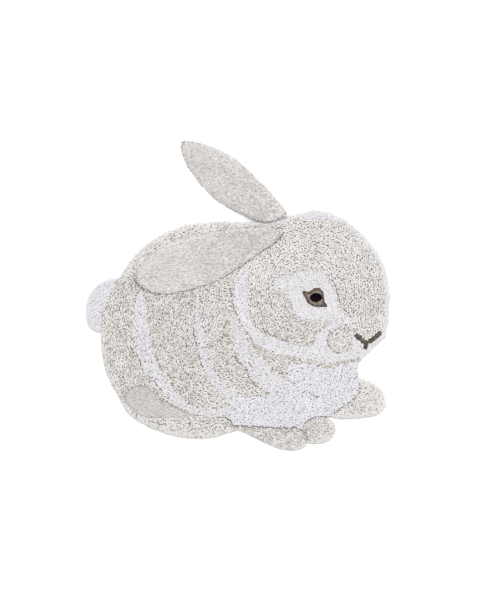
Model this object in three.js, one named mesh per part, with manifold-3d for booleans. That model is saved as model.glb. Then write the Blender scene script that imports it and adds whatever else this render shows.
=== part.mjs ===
// A tufted cotton floor rug for a child's room, in the shape of a sitting rabbit seen from its side.
// X runs from the tail to the nose, Y from the paws to the tips of the ears, Z up from the floor.
// All sizes are in millimetres. The middle of the rug's underside is the origin.
import * as THREE from "three";
import * as BufferGeometryUtils from "three/addons/utils/BufferGeometryUtils.js";
import Module from "manifold-3d";

const wasm = await Module();
wasm.setup();

// Heights of the pile above the floor, from the longest yarn to the shortest.
const CHEST_TOP = 17.2;
const COAT_TOP = 15.6;
const BAND_TOP = 14.4;
const MUZZLE_TOP = 14.2;
const PAW_TOP = 13.6;
const TAIL_TOP = 12.8;
const SMOOTH_TOP = 12.6;
const HAUNCH_PATCH_TOP = 10;

// The uneven tufts: how far they rise and sink, how wide a clump of them is, and the spacing of the points.
const CLUMP_RISE = 0.9;
const CLUMP_WIDTH = 78;
const CLUMP_PITCH = 30;
const BLOCK_SIDE = 1080;
const BLOCK_BELOW = 10;
const clumpWaves = [
  { share: 0.6, sineX: 1, sineY: 0.35, cosineX: -0.2, cosineY: 0.9 },
  { share: 0.4, sineX: 0.85, sineY: 1.7, cosineX: 1.9, cosineY: -0.75 },
];

// The rounded edge of the pile, and the spacing of points along an outline.
const RIM_ROUND = 6;
const OUTLINE_STEP = 16;
const DETAIL_STEP = 8;

// The stitched eye and mouth stand in pockets of the pile.
const POCKET_FLOOR = 7;
const POCKET_GAP = 0.4;
const EYE_POCKET_GAP = 1.1;
const EYE_TOP = 13.8;
const PUPIL_TOP = 14.6;
const PUPIL_HALF = { x: 19.5, y: 14.5 };
const PUPIL_CENTRE = { x: 254.5, y: -10 };
const PUPIL_SIDES = 20;
const MOUTH_TOP = 14.8;
const STITCH_ROUND = 1.5;

// The ears are separate padded pieces, sewn down at the root only.
const EAR_THICKNESS = 10;
const EAR_STEPS_PER_ROW = 2;
const FAR_EAR_TIP = { x: -184, y: 489 };
const FAR_EAR_TURN = -39;
const NEAR_EAR_TIP = { x: -333, y: 58 };
const NEAR_EAR_TURN = 16.5;
const NEAR_EAR_UNDERSIDE = 18.6;

// Outlines of the lobes that make the rug's one mat. The torso rises a little under the far ear's root.
const torsoOutline = [
  { x: 60, y: 236 }, { x: -90, y: 236 }, { x: -200, y: 216 }, { x: -300, y: 160 }, { x: -374, y: 72 },
  { x: -425, y: -25 }, { x: -444, y: -126 }, { x: -430, y: -241 }, { x: -385, y: -335 }, { x: -356, y: -385 },
  { x: -303, y: -423 }, { x: -190, y: -462 }, { x: -85, y: -465 }, { x: -18, y: -447 }, { x: 60, y: -430 },
  { x: 218, y: -446 }, { x: 300, y: -395 }, { x: 378, y: -335 }, { x: 385, y: -275 }, { x: 388, y: -222 },
  { x: 330, y: -60 }, { x: 240, y: 120 }, { x: 205, y: 215 }, { x: 172, y: 249 }, { x: 150, y: 260 },
  { x: 128, y: 264 }, { x: 106, y: 256 }, { x: 88, y: 240 },
];
const headOutline = [
  { x: 120, y: 238 }, { x: 190, y: 262 }, { x: 262, y: 273 }, { x: 323, y: 257 }, { x: 382, y: 218 },
  { x: 435, y: 163 }, { x: 476, y: 95 }, { x: 494, y: 5 }, { x: 491, y: -70 }, { x: 481, y: -131 },
  { x: 435, y: -181 }, { x: 400, y: -215 }, { x: 370, y: -270 }, { x: 230, y: -300 }, { x: 80, y: -200 },
  { x: 10, y: 0 }, { x: 50, y: 160 },
];
const tailOutline = [
  { x: -345, y: 50 }, { x: -400, y: 54 }, { x: -450, y: 35 }, { x: -482, y: -5 }, { x: -493, y: -60 },
  { x: -479, y: -108 }, { x: -440, y: -125 }, { x: -380, y: -110 }, { x: -340, y: -30 },
];
const pawOutlines = {
  near: [
    { x: -50, y: -420 }, { x: 20, y: -447 }, { x: 85, y: -480 }, { x: 145, y: -503 }, { x: 195, y: -505 },
    { x: 222, y: -490 }, { x: 220, y: -462 }, { x: 203, y: -430 }, { x: 110, y: -400 }, { x: 10, y: -400 },
  ],
  middle: [
    { x: 212, y: -440 }, { x: 228, y: -410 }, { x: 270, y: -398 }, { x: 305, y: -410 }, { x: 318, y: -440 },
    { x: 300, y: -473 }, { x: 255, y: -485 }, { x: 222, y: -478 },
  ],
  far: [
    { x: 386, y: -271 }, { x: 441, y: -288 }, { x: 475, y: -322 }, { x: 482, y: -361 }, { x: 455, y: -390 },
    { x: 400, y: -401 }, { x: 320, y: -402 }, { x: 290, y: -385 }, { x: 325, y: -345 }, { x: 355, y: -295 },
  ],
};

// Outlines of the areas whose pile is longer or shorter than the coat's.
const chestOutline = [
  { x: -20, y: -335 }, { x: 70, y: -335 }, { x: 150, y: -300 }, { x: 175, y: -245 }, { x: 300, y: -245 },
  { x: 384, y: -236 }, { x: 394, y: -275 }, { x: 386, y: -318 }, { x: 340, y: -368 }, { x: 270, y: -398 },
  { x: 222, y: -411 }, { x: 204, y: -434 }, { x: 90, y: -431 }, { x: -15, y: -424 }, { x: -25, y: -385 },
];
const eyePatchOutline = [
  { x: 112, y: 35 }, { x: 150, y: 62 }, { x: 200, y: 76 }, { x: 262, y: 76 }, { x: 292, y: 56 },
  { x: 312, y: 18 }, { x: 322, y: -25 }, { x: 340, y: -55 }, { x: 372, y: -82 }, { x: 352, y: -100 },
  { x: 328, y: -98 }, { x: 275, y: -82 }, { x: 225, y: -84 }, { x: 185, y: -65 }, { x: 168, y: -15 },
  { x: 140, y: 18 },
];
const muzzleOutline = [
  { x: 292, y: -146 }, { x: 300, y: -122 }, { x: 320, y: -107 }, { x: 346, y: -105 }, { x: 366, y: -118 },
  { x: 375, y: -142 }, { x: 369, y: -168 }, { x: 348, y: -184 }, { x: 320, y: -186 }, { x: 300, y: -170 },
];
const lipOutline = [
  { x: 375, y: -130 }, { x: 400, y: -152 }, { x: 437, y: -150 }, { x: 470, y: -118 }, { x: 505, y: -95 },
  { x: 500, y: -150 }, { x: 450, y: -195 }, { x: 405, y: -218 }, { x: 362, y: -196 }, { x: 372, y: -165 },
];
const crownOutline = [
  { x: 195, y: 250 }, { x: 190, y: 290 }, { x: 280, y: 300 }, { x: 360, y: 262 }, { x: 374, y: 226 },
  { x: 330, y: 233 }, { x: 270, y: 244 },
];
const haunchPatchOutline = [
  { x: -365, y: -322 }, { x: -322, y: -296 }, { x: -290, y: -298 }, { x: -250, y: -342 },
  { x: -190, y: -372 }, { x: -130, y: -394 }, { x: -240, y: -399 }, { x: -315, y: -392 },
  { x: -360, y: -358 },
];

// White bands through the coat: the middle line, and the width across it.
const bands = {
  haunch: [
    { x: -315, y: 0, width: 20 }, { x: -315, y: -100, width: 55 }, { x: -304, y: -165, width: 52 },
    { x: -270, y: -252, width: 46 }, { x: -220, y: -315, width: 30 }, { x: -150, y: -371, width: 26 },
    { x: -60, y: -385, width: 26 }, { x: 10, y: -372, width: 45 },
  ],
  flank: [
    { x: -130, y: 10, width: 8 }, { x: -126, y: -110, width: 24 }, { x: -108, y: -195, width: 28 },
    { x: -82, y: -262, width: 30 }, { x: -42, y: -315, width: 36 }, { x: 0, y: -345, width: 46 },
  ],
  shoulder: [
    { x: -3, y: -70, width: 20 }, { x: 5, y: -135, width: 42 }, { x: 35, y: -200, width: 52 },
    { x: 85, y: -262, width: 60 }, { x: 150, y: -315, width: 70 },
  ],
};
const cheekBands = {
  ring: [
    { x: 20, y: 78, width: 28 }, { x: 10, y: 0, width: 50 }, { x: 26, y: -85, width: 36 },
    { x: 60, y: -135, width: 44 }, { x: 140, y: -170, width: 46 }, { x: 205, y: -185, width: 42 },
    { x: 270, y: -195, width: 50 }, { x: 335, y: -205, width: 42 }, { x: 385, y: -197, width: 36 },
  ],
  rise: [
    { x: 262, y: -182, width: 50 }, { x: 280, y: -141, width: 50 }, { x: 305, y: -106, width: 36 },
    { x: 333, y: -85, width: 26 },
  ],
};

// The stitched eye is an almond, and the stitched mouth three short runs of thick yarn that meet.
const irisOutline = [
  { x: 214, y: 12 }, { x: 224, y: 7 }, { x: 232, y: 6 }, { x: 240, y: 13 }, { x: 250, y: 18 },
  { x: 262, y: 19 }, { x: 272, y: 14 }, { x: 278, y: 2 }, { x: 280, y: -15 }, { x: 283, y: -28 },
  { x: 289, y: -34 }, { x: 288, y: -41 }, { x: 276, y: -39 }, { x: 262, y: -40 }, { x: 248, y: -38 },
  { x: 235, y: -32 }, { x: 225, y: -20 }, { x: 219, y: -7 }, { x: 212, y: 6 },
];
const mouthRuns = {
  left: [{ x: 388, y: -134, width: 13 }, { x: 401, y: -145, width: 13 }, { x: 415, y: -155, width: 12 }],
  right: [
    { x: 461, y: -124, width: 12 }, { x: 453, y: -133, width: 13 }, { x: 442, y: -143, width: 12 },
    { x: 430, y: -151, width: 11 }, { x: 415, y: -155, width: 12 },
  ],
  stem: [{ x: 415, y: -155, width: 12 }, { x: 416, y: -163, width: 11 }, { x: 415, y: -171, width: 13 }],
};

// Ears by cross-section, from the tip to the root: how far along, half the width, how far the middle
// lies to the left of the straight line, the height of the underside, and the share of the thickness.
const farEarSections = [
  { along: 0, half: 7, shift: 8, under: 0, thick: 0.6 },
  { along: 10, half: 17, shift: 5, under: 0, thick: 0.85 },
  { along: 45, half: 40, shift: 3, under: 0, thick: 1 },
  { along: 105, half: 60, shift: 3, under: 0, thick: 1 },
  { along: 165, half: 72, shift: 3, under: 0, thick: 1 },
  { along: 220, half: 71, shift: 2, under: 3, thick: 1 },
  { along: 275, half: 62, shift: 5, under: 11, thick: 1 },
  { along: 315, half: 55, shift: 7, under: 18.6, thick: 1 },
  { along: 360, half: 45, shift: 10, under: 19, thick: 1 },
  { along: 388, half: 32, shift: 19, under: 18.6, thick: 0.9 },
  { along: 410, half: 10, shift: 32, under: 18.6, thick: 0.75 },
];
const nearEarSections = [
  { along: 0, half: 12, shift: -5, under: NEAR_EAR_UNDERSIDE, thick: 0.6 },
  { along: 16, half: 32, shift: -13, under: NEAR_EAR_UNDERSIDE, thick: 0.85 },
  { along: 60, half: 61, shift: -15, under: NEAR_EAR_UNDERSIDE, thick: 1 },
  { along: 115, half: 77, shift: -12, under: NEAR_EAR_UNDERSIDE, thick: 1 },
  { along: 170, half: 84, shift: -8, under: NEAR_EAR_UNDERSIDE, thick: 1 },
  { along: 245, half: 79, shift: -10, under: NEAR_EAR_UNDERSIDE, thick: 1 },
  { along: 330, half: 65, shift: -4, under: NEAR_EAR_UNDERSIDE, thick: 1 },
  { along: 410, half: 44, shift: 1, under: NEAR_EAR_UNDERSIDE, thick: 1 },
  { along: 470, half: 25, shift: 2, under: NEAR_EAR_UNDERSIDE, thick: 0.9 },
  { along: 496, half: 9, shift: 2, under: NEAR_EAR_UNDERSIDE, thick: 0.7 },
];

// One cross-section of an ear: flat below, crowned above, as shares of the half width and the thickness.
const earSection = [
  { across: -0.94, up: 0 }, { across: 0, up: 0 }, { across: 0.94, up: 0 }, { across: 1, up: 0.38 },
  { across: 0.86, up: 0.78 }, { across: 0.45, up: 0.97 }, { across: 0, up: 1 }, { across: -0.45, up: 0.97 },
  { across: -0.86, up: 0.78 }, { across: -1, up: 0.38 },
];

// A smooth line through a table's points, at even steps.
function spacedPoints(rows, closed, step) {
  const corners = rows.map((row) => new THREE.Vector3(row.x, row.y, row.width ?? 0));
  const curve = new THREE.CatmullRomCurve3(corners, closed, "centripetal");
  const steps = Math.round(curve.getLength() / step);
  const points = curve.getSpacedPoints(steps);
  if (closed) points.pop();
  return points;
}

// The shape inside a closed outline.
function areaShape(rows, step = OUTLINE_STEP) {
  return new THREE.Shape(spacedPoints(rows, true, step).map((point) => new THREE.Vector2(point.x, point.y)));
}

// The shape of a band: its two sides, worked out from the middle line and the width, with round ends.
function bandShape(rows, extra = 0, step = OUTLINE_STEP) {
  const middle = spacedPoints(rows, false, step);
  const capSteps = 3;
  const left = [];
  const right = [];
  middle.forEach((point, index) => {
    const before = middle[Math.max(index - 1, 0)];
    const after = middle[Math.min(index + 1, middle.length - 1)];
    const along = new THREE.Vector2(after.x - before.x, after.y - before.y).normalize();
    const across = new THREE.Vector2(-along.y, along.x);
    const half = point.z / 2 + extra;
    const centre = new THREE.Vector2(point.x, point.y);
    left.push(centre.clone().addScaledVector(across, half));
    right.push(centre.clone().addScaledVector(across, -half));
    const isEnd = index === 0 || index === middle.length - 1;
    if (!isEnd) return;
    const outward = index === 0 ? -1 : 1;
    for (let turn = 1; turn < capSteps; turn += 1) {
      const angle = (Math.PI / 2) * (turn / capSteps);
      const reach = half * Math.sin(angle) * outward;
      const side = half * Math.cos(angle);
      const onLeft = centre.clone().addScaledVector(across, side).addScaledVector(along, reach);
      const onRight = centre.clone().addScaledVector(across, -side).addScaledVector(along, reach);
      if (index === 0) {
        left.unshift(onLeft);
        right.unshift(onRight);
      } else {
        left.push(onLeft);
        right.push(onRight);
      }
    }
  });
  return new THREE.Shape([...left, ...right.reverse()]);
}

// A block that stands on a shape, from one height to another, with its upper and lower edges rounded.
function prism(shape, bottom, top, round = 0) {
  const geometry = new THREE.ExtrudeGeometry(shape, {
    depth: top - bottom - 2 * round,
    bevelEnabled: round > 0,
    bevelThickness: round,
    bevelSize: round,
    bevelOffset: -round,
    bevelSegments: 2,
    curveSegments: 1,
  });
  geometry.translate(0, 0, bottom + round);
  return geometry;
}

// A three.js geometry as a solid that can be joined and cut.
function solidOf(geometry) {
  const bare = geometry.clone();
  bare.deleteAttribute("normal");
  bare.deleteAttribute("uv");
  const merged = BufferGeometryUtils.mergeVertices(bare);
  const vertProperties = new Float32Array(merged.attributes.position.array);
  const triVerts = new Uint32Array(merged.index.array);
  return new wasm.Manifold(new wasm.Mesh({ numProp: 3, vertProperties, triVerts }));
}

// A solid as a three.js geometry with flat faces.
function geometryOf(solid) {
  const mesh = solid.getMesh();
  const geometry = new THREE.BufferGeometry();
  geometry.setAttribute("position", new THREE.BufferAttribute(mesh.vertProperties, 3));
  geometry.setIndex(new THREE.BufferAttribute(mesh.triVerts, 1));
  const faceted = geometry.toNonIndexed();
  faceted.computeVertexNormals();
  return faceted;
}

// How far the clumped tufts stand above or below the level of their pile at a place.
function clump(x, y) {
  const turn = (2 * Math.PI) / CLUMP_WIDTH;
  return clumpWaves.reduce((sum, wave) => {
    const sine = Math.sin(turn * (wave.sineX * x + wave.sineY * y));
    const cosine = Math.cos(turn * (wave.cosineX * x + wave.cosineY * y));
    return sum + CLUMP_RISE * wave.share * sine * cosine;
  }, 0);
}

// A wide block of pile with a clumped top, which reaches a little below the floor.
function pileBlock(level) {
  const steps = BLOCK_SIDE / CLUMP_PITCH;
  const height = level + BLOCK_BELOW;
  const geometry = new THREE.BoxGeometry(BLOCK_SIDE, BLOCK_SIDE, height, steps, steps, 1);
  geometry.translate(0, 0, level - height / 2);
  const places = geometry.attributes.position;
  for (let index = 0; index < places.count; index += 1) {
    if (places.getZ(index) > 0) {
      places.setZ(index, level + clump(places.getX(index), places.getY(index)));
    }
  }
  return solidOf(geometry);
}

// The room above the floor: what is kept of a mat whose blocks reach below it.
function aboveFloor() {
  const height = 2 * CHEST_TOP;
  const geometry = new THREE.BoxGeometry(BLOCK_SIDE, BLOCK_SIDE, height);
  geometry.translate(0, 0, height / 2);
  return solidOf(geometry);
}

// Lobes of the mat that share one height of pile.
function pileOn(shapes, level) {
  const reach = level + CLUMP_RISE;
  const lobes = shapes.map((shape) => solidOf(prism(shape, -BLOCK_BELOW - RIM_ROUND, reach, RIM_ROUND)));
  const joined = lobes.reduce((whole, lobe) => whole.add(lobe));
  return pileBlock(level).intersect(joined);
}

// What is taken away where the pile is shorter.
function shortPile(shape, level) {
  return solidOf(prism(shape, level, level + 2 * RIM_ROUND));
}

// The whole mat: the coat, the chest's long pile, the paws and the tail, less the shorter areas and pockets.
function makeBody() {
  const coat = pileOn([areaShape(torsoOutline), areaShape(headOutline)], COAT_TOP);
  const chest = pileOn([areaShape(chestOutline)], CHEST_TOP);
  const paws = pileOn(Object.values(pawOutlines).map((rows) => areaShape(rows)), PAW_TOP);
  const tail = pileOn([areaShape(tailOutline)], TAIL_TOP);
  const muzzle = pileOn([areaShape(muzzleOutline)], MUZZLE_TOP);
  const shortAreas = [eyePatchOutline, lipOutline, crownOutline];
  let mat = coat;
  Object.values(bands).forEach((rows) => {
    mat = mat.subtract(shortPile(bandShape(rows), BAND_TOP));
  });
  Object.values(cheekBands).forEach((rows) => {
    mat = mat.subtract(shortPile(bandShape(rows), SMOOTH_TOP));
  });
  shortAreas.forEach((rows) => {
    mat = mat.subtract(shortPile(areaShape(rows), SMOOTH_TOP));
  });
  mat = mat.subtract(shortPile(areaShape(haunchPatchOutline), HAUNCH_PATCH_TOP));
  mat = mat.add(chest).add(paws).add(tail).add(muzzle).intersect(aboveFloor());
  mat = mat.subtract(eyePocket());
  Object.values(mouthRuns).forEach((rows) => {
    mat = mat.subtract(shortPile(bandShape(rows, POCKET_GAP, DETAIL_STEP), POCKET_FLOOR));
  });
  return geometryOf(mat);
}

// The eye's shape, grown by a gap on every side, as a cutter for its pocket.
function eyePocket() {
  const points = irisShape().getPoints();
  const grown = points.map((point, index) => {
    const before = points.at(index - 1);
    const after = points[(index + 1) % points.length];
    const outward = new THREE.Vector2(before.y - after.y, after.x - before.x).normalize();
    return point.clone().addScaledVector(outward, EYE_POCKET_GAP);
  });
  return shortPile(new THREE.Shape(grown), POCKET_FLOOR);
}

// The almond of brown stitching.
function irisShape() {
  return areaShape(irisOutline, DETAIL_STEP);
}

// The brown ring of the eye, open in the middle for the pupil.
function makeIris() {
  const almond = solidOf(prism(irisShape(), POCKET_FLOOR + POCKET_GAP, EYE_TOP, STITCH_ROUND));
  const hole = new THREE.CylinderGeometry(1, 1, 2 * EYE_TOP, PUPIL_SIDES);
  hole.rotateX(Math.PI / 2);
  hole.scale(PUPIL_HALF.x + POCKET_GAP, PUPIL_HALF.y + POCKET_GAP, 1);
  hole.translate(PUPIL_CENTRE.x, PUPIL_CENTRE.y, EYE_TOP);
  return geometryOf(almond.subtract(solidOf(hole)));
}

// The black pupil, wider than it is high and domed a little above the ring.
function makePupil() {
  const bottom = POCKET_FLOOR + POCKET_GAP;
  const profile = [
    new THREE.Vector2(0, bottom),
    new THREE.Vector2(PUPIL_HALF.x, bottom),
    new THREE.Vector2(PUPIL_HALF.x, EYE_TOP - STITCH_ROUND),
    new THREE.Vector2(PUPIL_HALF.x - STITCH_ROUND, EYE_TOP),
    new THREE.Vector2(PUPIL_HALF.x / 2, PUPIL_TOP),
    new THREE.Vector2(0, PUPIL_TOP),
  ];
  const geometry = new THREE.LatheGeometry(profile, PUPIL_SIDES);
  geometry.rotateX(Math.PI / 2);
  geometry.scale(1, PUPIL_HALF.y / PUPIL_HALF.x, 1);
  geometry.translate(PUPIL_CENTRE.x, PUPIL_CENTRE.y, 0);
  return geometry;
}

// The mouth: three runs of thick brown yarn joined where they meet.
function makeMouth() {
  const runs = Object.values(mouthRuns).map((rows) => {
    const shape = bandShape(rows, 0, DETAIL_STEP);
    return solidOf(prism(shape, POCKET_FLOOR + POCKET_GAP, MOUTH_TOP, STITCH_ROUND));
  });
  return geometryOf(runs.reduce((whole, run) => whole.add(run)));
}

// The rows of an ear's table with smooth steps between them.
function smoothSections(rows) {
  const sides = new THREE.CatmullRomCurve3(
    rows.map((row) => new THREE.Vector3(row.along, row.half, row.shift)), false, "centripetal",
  );
  const spans = rows.length - 1;
  const sections = [];
  for (let step = 0; step <= spans * EAR_STEPS_PER_ROW; step += 1) {
    const row = Math.min(Math.floor(step / EAR_STEPS_PER_ROW), spans - 1);
    const share = step / EAR_STEPS_PER_ROW - row;
    const side = sides.getPoint(step / (spans * EAR_STEPS_PER_ROW));
    sections.push({
      along: side.x,
      half: side.y,
      shift: side.z,
      under: THREE.MathUtils.lerp(rows[row].under, rows[row + 1].under, share),
      thick: THREE.MathUtils.lerp(rows[row].thick, rows[row + 1].thick, share),
    });
  }
  return sections;
}

// An ear: cross-sections along a straight line, joined one to the next and closed at both ends.
function makeEar(rows, tip, turnDegrees) {
  const sections = smoothSections(rows);
  const turn = THREE.MathUtils.degToRad(turnDegrees);
  const along = new THREE.Vector2(Math.cos(turn), Math.sin(turn));
  const left = new THREE.Vector2(-along.y, along.x);
  const corners = [];
  sections.forEach((section) => {
    earSection.forEach((corner) => {
      const side = section.shift - corner.across * section.half;
      corners.push(
        tip.x + along.x * section.along + left.x * side,
        tip.y + along.y * section.along + left.y * side,
        section.under + corner.up * section.thick * EAR_THICKNESS,
      );
    });
  });
  const around = earSection.length;
  const faces = [];
  for (let row = 0; row < sections.length - 1; row += 1) {
    for (let corner = 0; corner < around; corner += 1) {
      const next = (corner + 1) % around;
      const a = row * around + corner;
      const b = row * around + next;
      faces.push(a, a + around, b, b, a + around, b + around);
    }
  }
  const last = (sections.length - 1) * around;
  const crest = earSection.findIndex((corner) => corner.up === 1);
  for (let step = 1; step < around - 1; step += 1) {
    const from = (crest + step) % around;
    const to = (crest + step + 1) % around;
    faces.push(crest, from, to);
    faces.push(last + crest, last + to, last + from);
  }
  const geometry = new THREE.BufferGeometry();
  geometry.setAttribute("position", new THREE.Float32BufferAttribute(corners, 3));
  geometry.setIndex(faces);
  geometry.computeVertexNormals();
  return geometry;
}

// The yarns, by colour and how dull they are.
const yarns = {
  coat: { color: 0xd9d4ce, roughness: 0.98 },
  ear: { color: 0xd2cdc7, roughness: 0.96 },
  brown: { color: 0x6b5743, roughness: 0.9 },
  black: { color: 0x14100f, roughness: 0.85 },
};

// A named piece in its own yarn.
function piece(name, geometry, yarn) {
  const mesh = new THREE.Mesh(geometry, new THREE.MeshStandardMaterial({ ...yarn, metalness: 0 }));
  mesh.name = name;
  return mesh;
}

const rug = new THREE.Group();
rug.add(piece("rug_body", makeBody(), yarns.coat));
rug.add(piece("ear_far", makeEar(farEarSections, FAR_EAR_TIP, FAR_EAR_TURN), yarns.ear));
rug.add(piece("ear_near", makeEar(nearEarSections, NEAR_EAR_TIP, NEAR_EAR_TURN), yarns.ear));
rug.add(piece("eye_iris", makeIris(), yarns.brown));
rug.add(piece("eye_pupil", makePupil(), yarns.black));
rug.add(piece("mouth", makeMouth(), yarns.brown));

// The whole is set so that the middle of its underside is the origin.
const middle = new THREE.Box3().setFromObject(rug).getCenter(new THREE.Vector3());
rug.position.set(-middle.x, -middle.y, 0);

export default rug;
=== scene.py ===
import math
import random

import bmesh
import bpy
import numpy as np
from mathutils.bvhtree import BVHTree
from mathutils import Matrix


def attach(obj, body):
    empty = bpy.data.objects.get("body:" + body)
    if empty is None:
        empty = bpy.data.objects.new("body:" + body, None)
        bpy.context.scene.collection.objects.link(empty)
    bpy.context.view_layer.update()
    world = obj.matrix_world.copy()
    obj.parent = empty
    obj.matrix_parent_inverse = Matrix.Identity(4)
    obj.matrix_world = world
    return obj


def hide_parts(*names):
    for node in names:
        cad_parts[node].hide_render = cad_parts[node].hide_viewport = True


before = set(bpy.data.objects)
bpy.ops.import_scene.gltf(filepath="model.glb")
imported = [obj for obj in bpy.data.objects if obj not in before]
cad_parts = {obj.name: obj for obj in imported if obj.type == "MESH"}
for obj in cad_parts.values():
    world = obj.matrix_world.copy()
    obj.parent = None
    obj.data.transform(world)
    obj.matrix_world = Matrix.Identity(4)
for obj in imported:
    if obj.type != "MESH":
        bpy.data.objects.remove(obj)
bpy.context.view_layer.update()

# The backing and its bed: one cotton canvas cut to the rabbit's outline, with the foot of the tufts packed
# on it. The canvas lies on the floor, and the tufts' heads stand over the bed, coloured a darker beige than
# the yarn as painted shade between them.
MM = 0.001
DRAWING_SHIFT = (-0.85 * MM, 2.95 * MM)
BED_TOP = 7.0 * MM
BED_INSET = 4.0 * MM
CANVAS_EDGE = 1.2 * MM
WELD = 0.02 * MM
THREADS = 160.0


def copied_form(node):
    """A merged copy of a solid's mesh, as a bmesh in the rug's frame."""
    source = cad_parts[node]
    form = bmesh.new()
    form.from_mesh(source.data)
    bmesh.ops.remove_doubles(form, verts=form.verts, dist=WELD)
    form.normal_update()
    return form


def new_piece(name, mesh):
    """An object at the origin that rides on the rug."""
    piece = bpy.data.objects.new(name, mesh)
    bpy.context.scene.collection.objects.link(piece)
    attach(piece, "root")
    return piece


def anticlockwise(line):
    """Whether a closed line runs anticlockwise."""
    return np.sum(line[:, 0] * np.roll(line[:, 1], -1) - np.roll(line[:, 0], -1) * line[:, 1]) > 0


def outline_of(node):
    """The corners round a solid's flat underside, in order."""
    form = copied_form(node)
    lowest = min(vert.co.z for vert in form.verts)
    under = [face for face in form.faces
             if face.normal.z < -0.99 and face.calc_center_median().z < lowest + WELD]
    edges = [edge for face in under for edge in face.edges]
    open_edges = [edge for edge in edges if edges.count(edge) == 1]
    beside = {}
    for edge in open_edges:
        first, second = edge.verts
        beside.setdefault(first, []).append(second)
        beside.setdefault(second, []).append(first)
    start = corner = open_edges[0].verts[0]
    before = None
    line = []
    while not line or corner is not start:
        line.append((corner.co.x, corner.co.y))
        after = [other for other in beside[corner] if other is not before][0]
        before, corner = corner, after
    form.free()
    line = np.array(line)
    return line if anticlockwise(line) else line[::-1]


def slab(name, line, levels):
    """A closed slab on an outline: at each level, how far the outline is drawn in."""
    along = np.roll(line, -1, axis=0) - np.roll(line, 1, axis=0)
    along /= np.linalg.norm(along, axis=1)[:, None]
    inward = np.stack([-along[:, 1], along[:, 0]], axis=1)
    count = len(line)
    verts = []
    faces = []
    for height, inset in levels:
        ring = line + inward * inset
        verts += [(x, y, height) for x, y in ring]
    for level in range(len(levels) - 1):
        low, high = level * count, (level + 1) * count
        for index in range(count):
            after = (index + 1) % count
            faces.append((low + index, low + after, high + after, high + index))
    top = (len(levels) - 1) * count
    faces.append(tuple(reversed(range(count))))
    faces.append(tuple(range(top, top + count)))
    mesh = bpy.data.meshes.new(name)
    mesh.from_pydata(verts, [], faces)
    return mesh


def new_material(name):
    material = bpy.data.materials.new(name)
    material.use_nodes = True
    nodes = material.node_tree.nodes
    return material, nodes, material.node_tree.links, nodes["Principled BSDF"]


def canvas_material():
    """Plain woven cotton canvas: threads over and under each other."""
    material, nodes, links, cloth = new_material("backing_canvas")
    place = nodes.new("ShaderNodeTexCoord")
    warp = nodes.new("ShaderNodeTexWave")
    weft = nodes.new("ShaderNodeTexWave")
    for wave, direction in ((warp, "X"), (weft, "Y")):
        wave.bands_direction = direction
        wave.inputs["Scale"].default_value = THREADS
        wave.inputs["Distortion"].default_value = 0.6
        links.new(place.outputs["Object"], wave.inputs["Vector"])
    crossing = nodes.new("ShaderNodeMath")
    crossing.operation = "MULTIPLY"
    links.new(warp.outputs["Fac"], crossing.inputs[0])
    links.new(weft.outputs["Fac"], crossing.inputs[1])
    shade = nodes.new("ShaderNodeValToRGB")
    shade.color_ramp.elements[0].color = (0.50, 0.46, 0.40, 1.0)
    shade.color_ramp.elements[1].color = (0.70, 0.66, 0.58, 1.0)
    links.new(crossing.outputs["Value"], shade.inputs["Fac"])
    links.new(shade.outputs["Color"], cloth.inputs["Base Color"])
    relief = nodes.new("ShaderNodeBump")
    relief.inputs["Strength"].default_value = 0.6
    relief.inputs["Distance"].default_value = 0.5 * MM
    links.new(crossing.outputs["Value"], relief.inputs["Height"])
    links.new(relief.outputs["Normal"], cloth.inputs["Normal"])
    cloth.inputs["Roughness"].default_value = 0.95
    cloth.inputs["Specular IOR Level"].default_value = 0.15
    return material


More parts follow.
